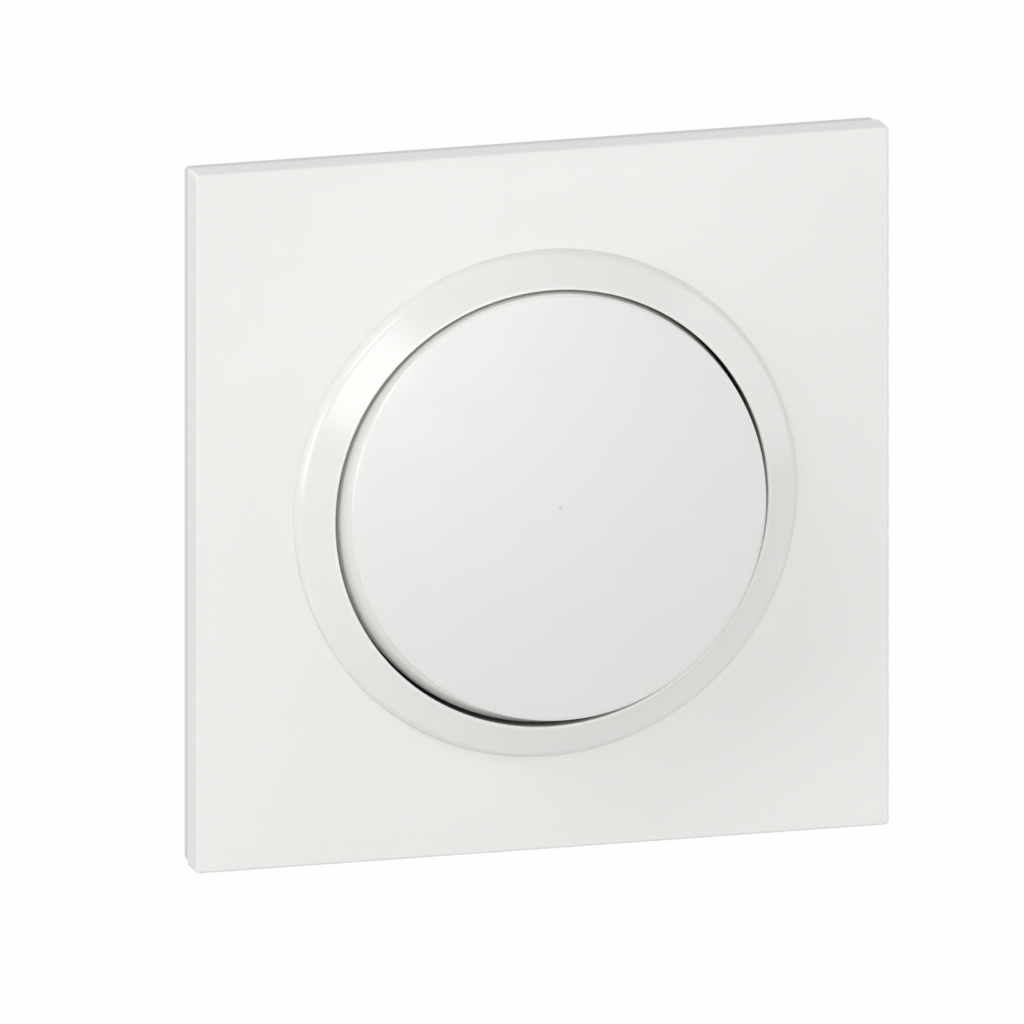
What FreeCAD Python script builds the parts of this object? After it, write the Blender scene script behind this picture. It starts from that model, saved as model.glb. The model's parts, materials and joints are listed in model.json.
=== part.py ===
import FreeCAD, Part
import math
import os
from FreeCAD import Vector

# Push button light switch for a round wall box, in millimetres, with the button out (at rest).
# X runs to the right, Y into the wall and Z up. The wall's surface is the plane Y = 0, and the
# origin is the middle of the fixing pattern on it.

# Fixing to the wall box
SCREW_SPACING = 60.0
SLOT_LENGTH = 8.4
SLOT_WIDTH = 4.6
SCREW_HEAD_R = 3.4

# Support frame
FRAME_EDGE = 1.3
FRAME_T = 2.0
FRAME_RIM_W = 1.0
FRAME_RIM_H = 1.0
FRAME_CORNER_R = 3.0
FRAME_CATCH = 1.0

# Cover plate
PLATE_MARGIN = 4.5
PLATE_CORNER_R = 0.45
PLATE_EDGE_R = 0.3
PLATE_LIP = 3.5
PLATE_REBATE = 2.2
PLATE_REBATE_INSET = 0.3
PLATE_CROWN = 1.9
PLATE_BORDER = 0.5
PLATE_WALL = 1.8

# Clips that hold the plate on the frame
CLIP_INSET = 4.0
CLIP_Z = 24.0
CLIP_LEG_W = 8.0
CLIP_LEG_T = 2.6
CLIP_TONGUE_W = 5.0
CLIP_TONGUE_T = 1.4
CLIP_BARB = 0.8

# Button and its tilt
BUTTON_R = 23.9
BUTTON_GAP = 1.05
BUTTON_DOME = 0.5
BUTTON_EDGE_R = 0.4
BUTTON_WALL = 1.4
BUTTON_FACE_T = 1.8
BUTTON_PROUD = 2.9
BUTTON_FLARE = 1.0
REST_TILT = 5.6
SKIRT_CLEARANCE = 0.5

# Trim ring
RING_WIDTH = 4.05
RING_OVERLAP = 0.6
RING_SEAT_GAP = 0.05
RING_WALL = 1.5
RING_HEIGHT = 6.2
RING_RISE = 1.8
RING_RELIEF = 0.4
RING_EDGE_ROUND = 0.7
RING_RIM_ROUND = 0.3
RING_LEG_W = 4.0
RING_LEG_T = 1.2
RING_LEG_END = 1.4
RING_BARB = 0.6

# Cradle under the button
PIVOT_RISE = 0.5
TRUNNION_R = 1.6
TRUNNION_CLEARANCE = 0.05
TRUNNION_LENGTH = 3.2
CRADLE_HALF_X = 12.4
CRADLE_HALF_Z = 8.0
CRADLE_T = 1.8
CHEEK_T = 2.0
CHEEK_HALF_Z = 3.0
CHEEK_RIM = 0.8
EAR_T = 3.0
EAR_GAP = 0.5
EAR_RIM = 1.0
EAR_SNAP = 0.3
HOOK_X = 7.0
HOOK_W = 5.0
HOOK_T = 1.2
HOOK_BARB = 0.6
HOOK_BARB_H = 0.8
NOSE_REACH = 13.0
NOSE_R = 1.2
NOSE_HALF_X = 2.2
NOSE_GAP = 0.1

# Mechanism housing
DECK_T = 1.4
DECK_LEDGE = 0.4
DECK_CORNER_CUT = 8.0
BASE_SIDE = 44.0
BASE_CORNER_CUT = 3.5
BASE_WALL = 1.6
BASE_BACK_T = 2.4
BASE_CHAMFER = 1.2
FRAME_GAP = 0.3
LUG_W = 8.0
LUG_H = 1.8
LUG_PROUD = 0.9
ARM_X = 9.0
ARM_W = 5.0
ARM_T = 1.2
ARM_LENGTH = 7.0
ARM_BARB = 1.0
ARM_BARB_H = 1.4
WINDOW_GAP = 0.3

# Plunger and return spring
PLUNGER_HALF_X = 4.0
PLUNGER_HALF_Z = 3.5
PLUNGER_HEAD_T = 1.6
PLUNGER_GAP = 0.12
GUIDE_GAP = 0.1
GUIDE_WALL = 1.2
GUIDE_LENGTH = 4.5
STEM_R = 2.0
STEM_ROOM = 0.3
STEM_PROUD = 1.6
STEM_GAP = 0.1
SPRING_LENGTH = 7.2
SPRING_WIRE = 0.6
SPRING_ROOM = 0.4
SPRING_TURNS = 4
SPRING_STEPS = 12
SHELF_T = 1.4
SHELF_HALF_X = 6.0
SHELF_EDGE = 1.6

# Contacts and terminals
BLADE_T = 0.4
BLADE_W = 5.0
BLADE_END = 2.0
BLADE_INSET = 1.5
RIVET_INSET = 4.5
RIVET_R = 1.0
RIVET_HEAD_R = 1.7
RIVET_HEAD_H = 0.6
RIVET_CLEARANCE = 0.05
CONTACT_X = 7.0
CONTACT_R = 1.6
CONTACT_H = 0.9
CONTACT_GAP = 1.8
TAB_T = 0.8
TAB_W = 6.0
TAB_LENGTH = 10.3
TAB_END = 3.0
PILLAR_H = 5.4
PILLAR_LENGTH = 7.0
PILLAR_HALF_Z = 2.8
BAR_T = 0.8
BAR_END_GAP = 1.4
BAR_EDGE = 3.0

# Wire entries, clamps and release pushers
WIRE_R = 1.9
WIRE_RECESS = 0.6
WIRE_RECESS_EDGE = 0.5
WIRE_Z = (0.0, 8.0)
CLAMP_T = 0.35
CLAMP_W = 5.0
CLAMP_BEND_R = 0.9
CLAMP_FRONT = 1.6
CLAMP_DROP = 5.2
CLAMP_TIP_GAP = 0.15
CLAMP_END_GAP = 2.0
RELEASE_T = 2.2
RELEASE_W = 11.0
RELEASE_WALL = 1.4
RELEASE_GAP = 0.3
RELEASE_FIT = 0.15
RELEASE_PROUD = 1.0
RELEASE_SHOULDER = 0.8
RELEASE_SHOULDER_T = 1.2
RIB_T = 1.4

# Play between pieces that are assembled by hand, and how close two places count as one
FIT = 0.1
SAME = 0.001

# Planes across the wall's surface, from the front of the button to the back of the housing
DECK_BACK = -FRAME_T
DECK_FRONT = DECK_BACK - DECK_T
RING_RIM_Y = DECK_FRONT - RING_HEIGHT
RING_SHOULDER_Y = RING_RIM_Y + RING_RISE
FACE_Y = RING_RIM_Y - BUTTON_PROUD
CEILING_Y = FACE_Y + BUTTON_FACE_T
PIVOT_Y = DECK_FRONT - PIVOT_RISE
CRADLE_BACK = CEILING_Y + CRADLE_T
PLATE_FRONT = -(PLATE_LIP + PLATE_REBATE)
HEAD_FRONT = DECK_BACK + PLUNGER_GAP
HEAD_BACK = HEAD_FRONT + PLUNGER_HEAD_T
SHELF_FRONT = HEAD_BACK + SPRING_LENGTH
STEM_TIP = SHELF_FRONT + SHELF_T + STEM_PROUD
BLADE_FRONT = STEM_TIP + STEM_GAP
BLADE_BACK = BLADE_FRONT + BLADE_T
FIXED_FRONT = BLADE_BACK + CONTACT_H + CONTACT_GAP
FIXED_TAB_FRONT = FIXED_FRONT + CONTACT_H
BASE_INNER_BACK = FIXED_TAB_FRONT + TAB_T + PILLAR_H
BASE_BACK = BASE_INNER_BACK + BASE_BACK_T

# Sizes that follow from the ones above
FRAME_HALF = SCREW_SPACING / 2 + SLOT_LENGTH / 2 + FRAME_EDGE
PLATE_HALF = FRAME_HALF + PLATE_MARGIN
CLIP_X = FRAME_HALF - CLIP_INSET
RING_BORE_R = BUTTON_R + BUTTON_GAP
RING_OUTER_R = RING_BORE_R + RING_WIDTH
SLEEVE_R = RING_BORE_R + RING_RELIEF
OPENING_R = RING_OUTER_R - RING_OVERLAP
CROWN_HALF = PLATE_HALF - PLATE_EDGE_R - PLATE_BORDER
DECK_HALF = SLEEVE_R + RING_WALL + DECK_LEDGE
BASE_HALF = BASE_SIDE / 2
BASE_INNER = BASE_HALF - BASE_WALL
TILT = math.radians(REST_TILT)
NOSE_CENTRE_Y = (HEAD_FRONT - NOSE_GAP - NOSE_R - PIVOT_Y + NOSE_REACH * math.sin(TILT)) / math.cos(TILT)
SKIRT_R = BUTTON_R + BUTTON_FLARE
SKIRT_TURN = SKIRT_R * math.sin(TILT)
SKIRT_END = PIVOT_Y + (DECK_FRONT - SKIRT_CLEARANCE - PIVOT_Y - SKIRT_TURN) / math.cos(TILT)
EAR_IN = CRADLE_HALF_X + EAR_GAP
PLUNGER_Z = -NOSE_REACH
BAR_OUT = BASE_INNER - FIT
BAR_IN = BAR_OUT - BAR_T
WIRE_X = BAR_IN - WIRE_R
RELEASE_OUT = WIRE_X - WIRE_R - RELEASE_WALL
RELEASE_IN = RELEASE_OUT - RELEASE_T
CLAMP_X = RELEASE_IN - RELEASE_GAP
RIB_OUT = CLAMP_X - CLAMP_T
RELEASE_Z = sum(WIRE_Z) / len(WIRE_Z)
RIVET_X = BAR_IN - RIVET_INSET
Y_AXIS = Vector(0, 1, 0)
ORIGIN = Vector(0, 0, 0)


def box(x0, x1, y0, y1, z0, z1):
    return Part.makeBox(x1 - x0, y1 - y0, z1 - z0, Vector(x0, y0, z0))


def disc(radius, y0, y1, x=0.0, z=0.0):
    return Part.makeCylinder(radius, y1 - y0, Vector(x, y0, z), Y_AXIS)


def runs_along_y(edge):
    start, end = edge.Vertexes[0].Point, edge.Vertexes[-1].Point
    return abs(start.x - end.x) + abs(start.z - end.z) < SAME < abs(start.y - end.y)


def rounded_block(half, y0, y1, radius):
    block = box(-half, half, y0, y1, -half, half)
    return block.makeFillet(radius, [e for e in block.Edges if runs_along_y(e)])


def cut_block(half, y0, y1, cut):
    block = box(-half, half, y0, y1, -half, half)
    return block.makeChamfer(cut, [e for e in block.Edges if runs_along_y(e)])


def housing_block(offset, y0, y1):
    """A block that follows the base's outside, moved out or in by an offset."""
    return cut_block(BASE_HALF + offset, y0, y1, BASE_CORNER_CUT + offset * (2 - math.sqrt(2)))


def edges_at(shape, y):
    """The edges of a piece that lie in one plane along the wall."""
    return [e for e in shape.Edges if e.BoundBox.YLength < SAME and abs(e.BoundBox.YMin - y) < SAME]


def corner_points(before, corner, after, radius):
    """Start, middle and end of the rounding of an outline's corner."""
    into, out = (before - corner).normalize(), (after - corner).normalize()
    half_angle = into.getAngle(out) / 2
    reach = radius / math.tan(half_angle)
    middle = (into + out).normalize()
    centre = corner + middle * (radius / math.sin(half_angle))
    return corner + into * reach, centre - middle * radius, corner + out * reach


def turned(points):
    """Turns a closed outline in the XY plane about the Y axis."""
    return Part.Face(Part.makePolygon(points + points[:1])).revolve(ORIGIN, Y_AXIS, 360)


def four_ways(shape, first_angle=0.0):
    """Four copies of a shape, a quarter turn apart about the switch's middle."""
    copies = []
    for quarter in range(4):
        copy = shape.copy()
        copy.rotate(ORIGIN, Y_AXIS, first_angle + 90.0 * quarter)
        copies.append(copy)
    return copies


def tilted(shape):
    """Swings a piece of the button from level to its rest position."""
    shape.rotate(Vector(0, PIVOT_Y, 0), Vector(1, 0, 0), -REST_TILT)
    return shape


def mirrored(shape):
    """The same piece on the other side of the switch."""
    return shape.mirror(ORIGIN, Vector(1, 0, 0))


def crowned_block(y_edge, y_back):
    """A square block whose front swells towards the middle and keeps straight edges."""
    patch = Part.BezierSurface()
    patch.increase(2, 2)
    for i in range(3):
        for j in range(3):
            rise = 4 * PLATE_CROWN if i == j == 1 else 0.0
            patch.setPole(i + 1, j + 1, Vector((i - 1) * CROWN_HALF, y_edge - rise, (j - 1) * CROWN_HALF))
    swept = patch.toShape().extrude(Vector(0, y_back - y_edge + 2 * PLATE_CROWN, 0))
    reach = 2 * PLATE_HALF
    return swept.common(box(-reach, reach, y_edge - 2 * PLATE_CROWN, y_back, -reach, reach))


def clip_leg():
    """One leg of the plate: it stands on the frame, and its tongue catches behind the frame's ledge."""
    half_leg, half_tongue = CLIP_LEG_W / 2, CLIP_TONGUE_W / 2
    outer = CLIP_X + CLIP_TONGUE_T / 2
    barb_front = -FRAME_T + FRAME_CATCH + FIT
    shoulder = box(
        CLIP_X - CLIP_LEG_T / 2, CLIP_X + CLIP_LEG_T / 2,
        PLATE_FRONT + PLATE_WALL / 2, -FRAME_T,
        CLIP_Z - half_leg, CLIP_Z + half_leg,
    )
    tongue = box(
        CLIP_X - CLIP_TONGUE_T / 2, outer, -FRAME_T, -FIT, CLIP_Z - half_tongue, CLIP_Z + half_tongue
    )
    barb = box(outer, outer + CLIP_BARB, barb_front, -FIT, CLIP_Z - half_tongue, CLIP_Z + half_tongue)
    return shoulder.fuse([tongue, barb])


def on_four_corners(shape):
    """A piece near one corner, repeated at the other three by mirroring."""
    pair = [shape, mirrored(shape)]
    return pair + [s.mirror(ORIGIN, Vector(0, 0, 1)) for s in pair]


def cover_plate():
    lip = rounded_block(PLATE_HALF, PLATE_FRONT, -PLATE_REBATE, PLATE_CORNER_R)
    lip = lip.makeFillet(PLATE_EDGE_R, edges_at(lip, PLATE_FRONT))
    crown = crowned_block(PLATE_FRONT, -PLATE_REBATE)
    strip_half = PLATE_HALF - PLATE_REBATE_INSET
    strip = rounded_block(strip_half, -PLATE_REBATE, 0.0, PLATE_CORNER_R)
    hollow_half = strip_half - PLATE_WALL
    hollow = crowned_block(PLATE_FRONT + PLATE_WALL, 0.0).common(
        box(-hollow_half, hollow_half, 2 * PLATE_FRONT, 0.0, -hollow_half, hollow_half)
    )
    opening = disc(OPENING_R, 2 * PLATE_FRONT, 0.0)
    shell = lip.fuse([crown, strip]).removeSplitter().cut([hollow, opening])
    return shell.fuse(on_four_corners(clip_leg()))


def ring_seat():
    """Where the ring's flange ends: just in front of the plate's swell at the edge of its opening."""
    swell = PLATE_CROWN * (1 - (OPENING_R / CROWN_HALF) ** 2 / 2) ** 2
    return PLATE_FRONT - swell - RING_SEAT_GAP


def trim_ring():
    """A cone round the button, with a bore that widens towards the wall and a flange over the plate."""
    shoulder = Vector(RING_OUTER_R, RING_SHOULDER_Y, 0)
    rim = Vector(RING_BORE_R, RING_RIM_Y, 0)
    bore_end = Vector(SLEEVE_R, DECK_FRONT, 0)
    flange_end = Vector(RING_OUTER_R, ring_seat(), 0)
    sleeve_out = SLEEVE_R + RING_WALL
    rim_start, _, rim_end = corner_points(bore_end, rim, shoulder, RING_RIM_ROUND)
    shoulder_start, _, shoulder_end = corner_points(rim, shoulder, flange_end, RING_EDGE_ROUND)
    ring = turned([
        shoulder_start,
        shoulder_end,
        flange_end,
        Vector(sleeve_out, flange_end.y, 0),
        Vector(sleeve_out, DECK_FRONT, 0),
        bore_end,
        rim_start,
        rim_end,
    ])
    leg_half, barb_front = RING_LEG_W / 2, DECK_BACK + FIT
    leg_out, leg_end = SLEEVE_R + RING_LEG_T, DECK_BACK + RING_LEG_END
    leg = box(SLEEVE_R, leg_out, DECK_FRONT - RING_WALL, leg_end, -leg_half, leg_half)
    barb = box(SLEEVE_R - RING_BARB, SLEEVE_R, barb_front, leg_end, -leg_half, leg_half)
    return ring.fuse(four_ways(leg.fuse(barb), 45.0))


def dome_block():
    """A block as wide as the button and more, whose front is the button's shallow dome."""
    half = SKIRT_R + BUTTON_WALL
    bow = BUTTON_DOME * (half / BUTTON_R) ** 2
    poles = (bow, -bow, bow)
    patch = Part.BezierSurface()
    patch.increase(2, 2)
    for i in range(3):
        for j in range(3):
            y = FACE_Y - BUTTON_DOME + poles[i] + poles[j]
            patch.setPole(i + 1, j + 1, Vector((i - 1) * half, y, (j - 1) * half))
    return patch.toShape().extrude(Vector(0, SKIRT_END - FACE_Y + BUTTON_WALL, 0))


def button_cap():
    """A domed cap whose skirt widens towards the wall, with hooks for the cradle."""
    rim, centre = Vector(BUTTON_R, FACE_Y, 0), Vector(0, FACE_Y, 0)
    skirt_end = Vector(SKIRT_R, SKIRT_END, 0)
    face_edge, _, rim_end = corner_points(centre, rim, skirt_end, BUTTON_EDGE_R)
    above_dome = face_edge + (face_edge - rim_end).normalize() * BUTTON_WALL
    cap = turned([
        Vector(0, above_dome.y, 0),
        above_dome,
        rim_end,
        skirt_end,
        Vector(BUTTON_R - BUTTON_WALL, SKIRT_END, 0),
        Vector(BUTTON_R - BUTTON_WALL, CEILING_Y, 0),
        Vector(0, CEILING_Y, 0),
    ])
    cap = cap.common(dome_block())
    hook_in, half = CRADLE_HALF_Z + FIT, HOOK_W / 2
    barb_front = CRADLE_BACK + FIT
    barb_back = barb_front + HOOK_BARB_H
    leg = box(
        HOOK_X - half, HOOK_X + half, CEILING_Y - BUTTON_FACE_T / 2, barb_back, hook_in, hook_in + HOOK_T
    )
    barb = box(HOOK_X - half, HOOK_X + half, barb_front, barb_back, hook_in - HOOK_BARB, hook_in)
    return tilted(cap.fuse(on_four_corners(leg.fuse(barb))))


def button_cradle():
    cheek_back = PIVOT_Y + TRUNNION_R + CHEEK_RIM
    nose_y = PIVOT_Y + NOSE_CENTRE_Y
    plate = box(-CRADLE_HALF_X, CRADLE_HALF_X, CEILING_Y, CRADLE_BACK, -CRADLE_HALF_Z, CRADLE_HALF_Z)
    pieces = [
        box(-NOSE_HALF_X, NOSE_HALF_X, CEILING_Y, CRADLE_BACK, -NOSE_REACH - NOSE_R, 0.0),
        box(-NOSE_HALF_X, NOSE_HALF_X, CEILING_Y, nose_y, -NOSE_REACH - NOSE_R, -NOSE_REACH + NOSE_R),
        Part.makeCylinder(
            NOSE_R, 2 * NOSE_HALF_X, Vector(-NOSE_HALF_X, nose_y, -NOSE_REACH), Vector(1, 0, 0)
        ),
    ]
    for side in (-1, 1):
        root = side * CRADLE_HALF_X
        inner = side * (CRADLE_HALF_X - CHEEK_T)
        pieces.append(
            box(min(root, inner), max(root, inner), CEILING_Y, cheek_back, -CHEEK_HALF_Z, CHEEK_HALF_Z)
        )
        pieces.append(
            Part.makeCylinder(
                TRUNNION_R, TRUNNION_LENGTH + CHEEK_T / 2,
                Vector(root - side * CHEEK_T / 2, PIVOT_Y, 0), Vector(side, 0, 0),
            )
        )
    return tilted(plate.fuse(pieces).removeSplitter())


def slot(length, width, y0, y1):
    """A round-ended hole at the right-hand fixing point, running towards the middle."""
    centre, half = SCREW_SPACING / 2, (length - width) / 2
    straight = box(centre - half, centre + half, y0, y1, -width / 2, width / 2)
    return straight.fuse([disc(width / 2, y0, y1, centre + end * half) for end in (-1, 1)])


def support_frame():
    frame = rounded_block(FRAME_HALF, -FRAME_T, 0.0, FRAME_CORNER_R)
    rim_front = -FRAME_T - FRAME_RIM_H
    rim = rounded_block(FRAME_HALF, rim_front, -FRAME_T, FRAME_CORNER_R)
    rim_in = FRAME_HALF - FRAME_RIM_W
    rim = rim.cut(rounded_block(rim_in, rim_front, -FRAME_T, FRAME_CORNER_R - FRAME_RIM_W))
    frame = frame.fuse(rim).removeSplitter()
    opening = housing_block(FRAME_GAP, -FRAME_T, 0.0)
    half_tongue = CLIP_TONGUE_T / 2 + FRAME_GAP
    half_long = CLIP_TONGUE_W / 2 + FRAME_GAP
    window = box(
        CLIP_X - half_tongue, CLIP_X + half_tongue, -FRAME_T, 0.0, CLIP_Z - half_long, CLIP_Z + half_long
    )
    catch = box(
        CLIP_X, CLIP_X + half_tongue + CLIP_BARB,
        -FRAME_T + FRAME_CATCH, 0.0,
        CLIP_Z - half_long, CLIP_Z + half_long,
    )
    holes = [opening]
    holes += on_four_corners(window.fuse(catch))
    holes += four_ways(slot(SLOT_LENGTH, SLOT_WIDTH, rim_front, 0.0))
    return frame.cut(holes)


def trunnion_ear():
    """The right-hand bearing: the trunnion snaps in from the front through a slightly narrow slot."""
    rise = TRUNNION_R + EAR_RIM
    hole_r = TRUNNION_R + TRUNNION_CLEARANCE
    half_z, neck = hole_r + EAR_RIM, hole_r - EAR_SNAP
    ear = box(EAR_IN, EAR_IN + EAR_T, PIVOT_Y - rise, PIVOT_Y + rise, -half_z, half_z)
    hole = Part.makeCylinder(hole_r, EAR_T, Vector(EAR_IN, PIVOT_Y, 0), Vector(1, 0, 0))
    mouth = box(EAR_IN, EAR_IN + EAR_T, PIVOT_Y - rise, PIVOT_Y, -neck, neck)
    return ear.cut([hole, mouth])


def snap_arm():
    """An arm of the cover that reaches into the base and catches in a window of its wall."""
    arm_out, half = BASE_INNER - FIT, ARM_W / 2
    end = DECK_BACK + ARM_LENGTH
    arm = box(ARM_X - half, ARM_X + half, DECK_BACK, end, arm_out - ARM_T, arm_out)
    barb = box(ARM_X - half, ARM_X + half, end - ARM_BARB_H, end, arm_out, arm_out + ARM_BARB)
    return arm.fuse(barb)


def mechanism_cover():
    deck = cut_block(DECK_HALF, DECK_FRONT, DECK_BACK, DECK_CORNER_CUT)
    head_room = disc(SCREW_HEAD_R, DECK_FRONT, DECK_BACK, SCREW_SPACING / 2)
    leg_half = RING_LEG_W / 2 + FRAME_GAP
    leg_slot = box(
        SLEEVE_R - RING_BARB / 2, SLEEVE_R + RING_LEG_T + FRAME_GAP,
        DECK_FRONT, DECK_BACK, -leg_half, leg_half,
    )
    cheek_room = box(
        CRADLE_HALF_X - CHEEK_T - EAR_GAP, EAR_IN,
        DECK_FRONT, DECK_BACK,
        -CHEEK_HALF_Z - HOOK_BARB_H, CHEEK_HALF_Z + HOOK_BARB_H,
    )
    nose_half_x, nose_half_z = NOSE_HALF_X + EAR_GAP, NOSE_R + HOOK_BARB_H
    nose_room = box(
        -nose_half_x, nose_half_x, DECK_FRONT, DECK_BACK, PLUNGER_Z - nose_half_z, PLUNGER_Z + nose_half_z
    )
    ear_seat = box(
        EAR_IN, EAR_IN + EAR_T, DECK_FRONT, DECK_BACK,
        -TRUNNION_R - TRUNNION_CLEARANCE, TRUNNION_R + TRUNNION_CLEARANCE,
    )
    cuts = four_ways(head_room) + four_ways(leg_slot, 45.0)
    cuts += [cheek_room, mirrored(cheek_room), nose_room, ear_seat, mirrored(ear_seat)]
    guide_x, guide_z = PLUNGER_HALF_X + GUIDE_GAP, PLUNGER_HALF_Z + GUIDE_GAP
    guide_end = DECK_BACK + GUIDE_LENGTH
    guide = box(
        -guide_x - GUIDE_WALL, guide_x + GUIDE_WALL,
        DECK_BACK, guide_end,
        PLUNGER_Z - guide_z - GUIDE_WALL, PLUNGER_Z + guide_z + GUIDE_WALL,
    )
    guide = guide.cut(
        box(-guide_x, guide_x, DECK_BACK, guide_end, PLUNGER_Z - guide_z, PLUNGER_Z + guide_z)
    )
    added = [trunnion_ear(), mirrored(trunnion_ear()), guide]
    return deck.cut(cuts).fuse(added + on_four_corners(snap_arm())).removeSplitter()


def latch_lug():
    """A wedge on the base's right side that catches behind the support frame."""
    root, tip = BASE_HALF - FIT, BASE_HALF + LUG_PROUD
    corners = [(root, FIT), (tip, FIT), (tip, FIT + LUG_H / 3), (BASE_HALF, LUG_H), (root, LUG_H)]
    outline = Part.makePolygon([Vector(x, y, -LUG_W / 2) for x, y in corners + corners[:1]])
    return Part.Face(outline).extrude(Vector(0, 0, LUG_W))


def pillar(x, front):
    """Post inside the base behind a terminal's tab."""
    half = PILLAR_LENGTH / 2
    return box(
        x - half, x + half, front, BASE_INNER_BACK + FIT, PLUNGER_Z - PILLAR_HALF_Z, PLUNGER_Z + PILLAR_HALF_Z
    )


def clamp_rib():
    """Wall inside the base that backs the two clamps on the right-hand side."""
    low, high = min(WIRE_Z) - BAR_EDGE, max(WIRE_Z) + BAR_EDGE
    return box(RIB_OUT - RIB_T, RIB_OUT, BLADE_BACK, BASE_INNER_BACK + FIT, low, high)


def spring_shelf():
    """Shelf from the base's lower wall that carries the return spring and guides the stem."""
    top = PLUNGER_Z + STEM_R + SPRING_ROOM + SPRING_WIRE + SHELF_EDGE
    shelf = box(-SHELF_HALF_X, SHELF_HALF_X, SHELF_FRONT, SHELF_FRONT + SHELF_T, -BASE_INNER - FIT, top)
    return shelf.cut(disc(STEM_R + STEM_ROOM, SHELF_FRONT, SHELF_FRONT + SHELF_T, 0.0, PLUNGER_Z))


def wire_entry(z):
    """A right-hand wire entry through the base's back, in a shallow square recess that guides the wire."""
    half = WIRE_R + WIRE_RECESS_EDGE
    hole = disc(WIRE_R, BASE_INNER_BACK, BASE_BACK, WIRE_X, z)
    recess = box(WIRE_X - half, WIRE_X + half, BASE_BACK - WIRE_RECESS, BASE_BACK, z - half, z + half)
    return hole.fuse(recess)


def mechanism_base():
    outside = housing_block(0.0, DECK_BACK, BASE_BACK)
    outside = outside.makeChamfer(BASE_CHAMFER, edges_at(outside, BASE_BACK))
    inside = housing_block(-BASE_WALL, DECK_BACK, BASE_INNER_BACK)
    fittings = [pillar(-RIVET_X, BLADE_BACK + TAB_T), pillar(CONTACT_X, FIXED_TAB_FRONT + TAB_T)]
    fittings += [clamp_rib(), mirrored(clamp_rib()), spring_shelf()]
    half_slot = RELEASE_W / 2 + RELEASE_FIT
    release_slot = box(
        RELEASE_IN - RELEASE_FIT, RELEASE_OUT + RELEASE_FIT,
        BASE_INNER_BACK, BASE_BACK,
        RELEASE_Z - half_slot, RELEASE_Z + half_slot,
    )
    half_window = ARM_W / 2 + WINDOW_GAP
    arm_end = DECK_BACK + ARM_LENGTH
    window = box(
        ARM_X - half_window, ARM_X + half_window,
        arm_end - ARM_BARB_H - FIT, arm_end + WINDOW_GAP,
        BASE_INNER - FIT, BASE_HALF,
    )
    openings = [release_slot, mirrored(release_slot)] + on_four_corners(window)
    for z in WIRE_Z:
        openings += [wire_entry(z), mirrored(wire_entry(z))]
    return outside.cut(inside).fuse(fittings + four_ways(latch_lug())).cut(openings).removeSplitter()


def plunger():
    head = box(
        -PLUNGER_HALF_X, PLUNGER_HALF_X, HEAD_FRONT, HEAD_BACK,
        PLUNGER_Z - PLUNGER_HALF_Z, PLUNGER_Z + PLUNGER_HALF_Z,
    )
    return head.fuse(disc(STEM_R, HEAD_BACK, STEM_TIP, 0.0, PLUNGER_Z))


def return_spring():
    """A coil round the plunger's stem, between its head and the shelf."""
    half = SPRING_WIRE / 2
    coil_r = STEM_R + SPRING_ROOM + half
    first, last = HEAD_BACK + FIT + half, SHELF_FRONT - FIT - half
    steps = SPRING_TURNS * SPRING_STEPS
    sections = []
    for step in range(steps + 1):
        y = first + (last - first) * step / steps
        angle = 2 * math.pi * step / SPRING_STEPS
        out = Vector(math.cos(angle), 0, math.sin(angle))
        corners = [(-half, -half), (half, -half), (half, half), (-half, half), (-half, -half)]
        centre = Vector(0, y, PLUNGER_Z)
        sections.append(Part.makePolygon([
            centre + out * (coil_r + across) + Y_AXIS * along for across, along in corners
        ]))
    return Part.makeLoft(sections, True, True)


def contact_blade():
    low, high = PLUNGER_Z - BLADE_W / 2, PLUNGER_Z + BLADE_W / 2
    blade = box(-BAR_IN + BLADE_INSET, CONTACT_X + BLADE_END, BLADE_FRONT, BLADE_BACK, low, high)
    return blade.cut(disc(RIVET_R + RIVET_CLEARANCE, BLADE_FRONT, BLADE_BACK, -RIVET_X, PLUNGER_Z))


def blade_rivet():
    shank = disc(RIVET_R, BLADE_FRONT, BLADE_BACK + TAB_T, -RIVET_X, PLUNGER_Z)
    head = disc(RIVET_HEAD_R, BLADE_FRONT - RIVET_HEAD_H, BLADE_FRONT, -RIVET_X, PLUNGER_Z)
    return shank.fuse(head)


def moving_contact():
    """A silver tip welded on the blade."""
    return disc(CONTACT_R, BLADE_BACK, BLADE_BACK + CONTACT_H, CONTACT_X, PLUNGER_Z)


def fixed_contact():
    """A silver tip welded on the switched terminal's tab."""
    return disc(CONTACT_R, FIXED_FRONT, FIXED_TAB_FRONT, CONTACT_X, PLUNGER_Z)


def terminal(side, tab_front, tab_end):
    """A brass bar along the housing's wall with a tab bent towards the middle."""
    low, high = PLUNGER_Z - TAB_W / 2, max(WIRE_Z) + BAR_EDGE
    bar = box(BAR_IN, BAR_OUT, BLADE_BACK, BASE_INNER_BACK - BAR_END_GAP, low, high)
    tab = box(tab_end, BAR_OUT, tab_front, tab_front + TAB_T, low, low + TAB_W)
    piece = bar.fuse(tab).removeSplitter()
    return piece if side > 0 else mirrored(piece)


def common_terminal():
    rivet_hole = disc(RIVET_R + RIVET_CLEARANCE, BLADE_BACK, BLADE_BACK + TAB_T, -RIVET_X, PLUNGER_Z)
    return terminal(-1, BLADE_BACK, BAR_OUT - TAB_LENGTH).cut(rivet_hole)


def switched_terminal():
    return terminal(1, FIXED_TAB_FRONT, CONTACT_X - TAB_END)


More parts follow.
